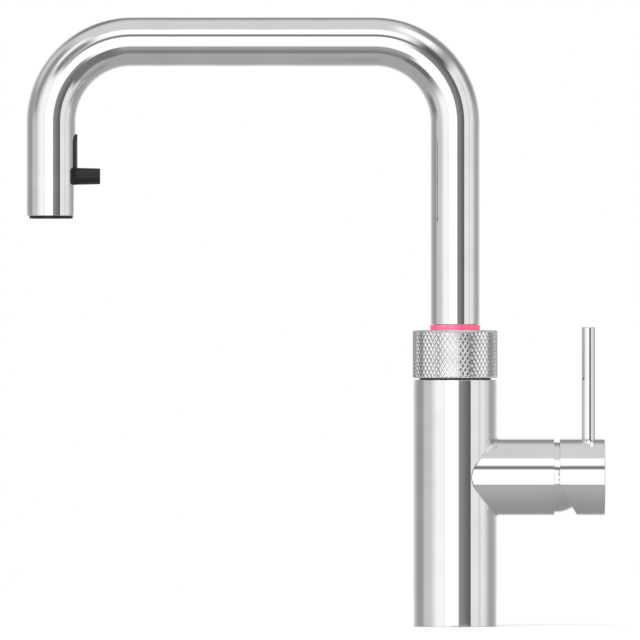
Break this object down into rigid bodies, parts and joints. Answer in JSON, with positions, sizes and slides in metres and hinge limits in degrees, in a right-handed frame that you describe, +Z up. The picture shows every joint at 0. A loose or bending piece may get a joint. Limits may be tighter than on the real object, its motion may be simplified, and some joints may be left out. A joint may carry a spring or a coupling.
{
  "type": "boiling water tap",
  "caption": "Deck-mounted boiling water tap: round column with a knurled push-and-turn ring over a side mixer lever, swivel spout and pull-out nozzle.",
  "frame": {"origin": "centre of the column's foot, on the worktop's upper face", "axes": "+Z up along the column, the spout reaches towards -X and the side lever is at +X"},
  "size_m": [0.3469, 0.0532, 0.4175],
  "materials": {
    "chrome": "polished",
    "brass": "machined",
    "copper": "drawn",
    "steel": "machined",
    "hose": "braided",
    "rubber": "matte",
    "black_plastic": "fine matte",
    "white_plastic": "satin",
    "ceramic": "lapped",
    "circuit_board": "coated",
    "light": "translucent, lit from inside"
  },
  "bodies": {
    "tap_base": {"tap_body": "chrome", "base_plug": "brass", "base_gasket": "rubber", "mounting_shank": "steel", "rubber_washer": "rubber", "clamp_washer": "steel", "mounting_nut": "brass", "valve_manifold": "brass", "hot_tail": "copper", "cold_tail": "copper", "boiling_tail": "copper", "mixed_tail": "copper", "column_hose": "hose", "neck_sleeve": "black_plastic", "lower_bush": "white_plastic", "upper_bush": "white_plastic", "led_board": "circuit_board", "light_ring": "light", "press_spring": "steel", "cartridge_body": "white_plastic", "ceramic_disc": "ceramic", "cartridge_nut": "brass", "dome_cover": "chrome"},
    "press_carrier": {"press_sleeve": "white_plastic"},
    "control_ring": {"knurled_ring": "chrome", "ring_clip": "steel", "ring_magnet": "steel"},
    "mixer_rotor": {"cartridge_rotor": "white_plastic", "pivot_pin": "steel"},
    "handle": {"handle_stem": "brass", "handle_cap": "chrome", "lever_rod": "chrome", "grub_screw": "steel"},
    "spout": {"spout_tube": "chrome", "spout_foot": "brass", "oring_lower": "rubber", "oring_upper": "rubber", "swivel_circlip": "steel", "boiling_tube": "copper", "spout_hose": "hose", "pull_hose_run": "hose"},
    "nozzle": {"nozzle_body": "black_plastic", "pull_knob": "black_plastic", "spray_insert": "white_plastic", "hose_ferrule": "brass"}
  },
  "joints": [
    {"name": "ring_press", "type": "slide", "parent": "tap_base", "child": "press_carrier", "axis": [0, 0, -1], "range_m": [0, 0.0006], "stiffness_N_per_m": 4000, "springref_m": -0.001, "deforming": ["press_spring"]},
    {"name": "ring_turn", "type": "hinge", "parent": "press_carrier", "child": "control_ring", "pos_m": [0, 0, 0.1633], "axis": [0, 0, 1], "range_deg": [0, 45]},
    {"name": "spout_swivel", "type": "hinge", "parent": "tap_base", "child": "spout", "pos_m": [0, 0, 0.1812], "axis": [0, 0, 1], "range_deg": [-135, 135]},
    {"name": "nozzle_pull", "type": "slide", "parent": "spout", "child": "nozzle", "axis": [0, 0, -1], "range_m": [0, 0.2], "deforming": ["pull_hose_run"]},
    {"name": "mixer_turn", "type": "hinge", "parent": "tap_base", "child": "mixer_rotor", "pos_m": [0.06, 0, 0.0896], "axis": [1, 0, 0], "range_deg": [-45, 45]},
    {"name": "handle_tilt", "type": "hinge", "parent": "mixer_rotor", "child": "handle", "pos_m": [0.06, 0, 0.0896], "axis": [0, 1, 0], "range_deg": [0, 25]}
  ]
}
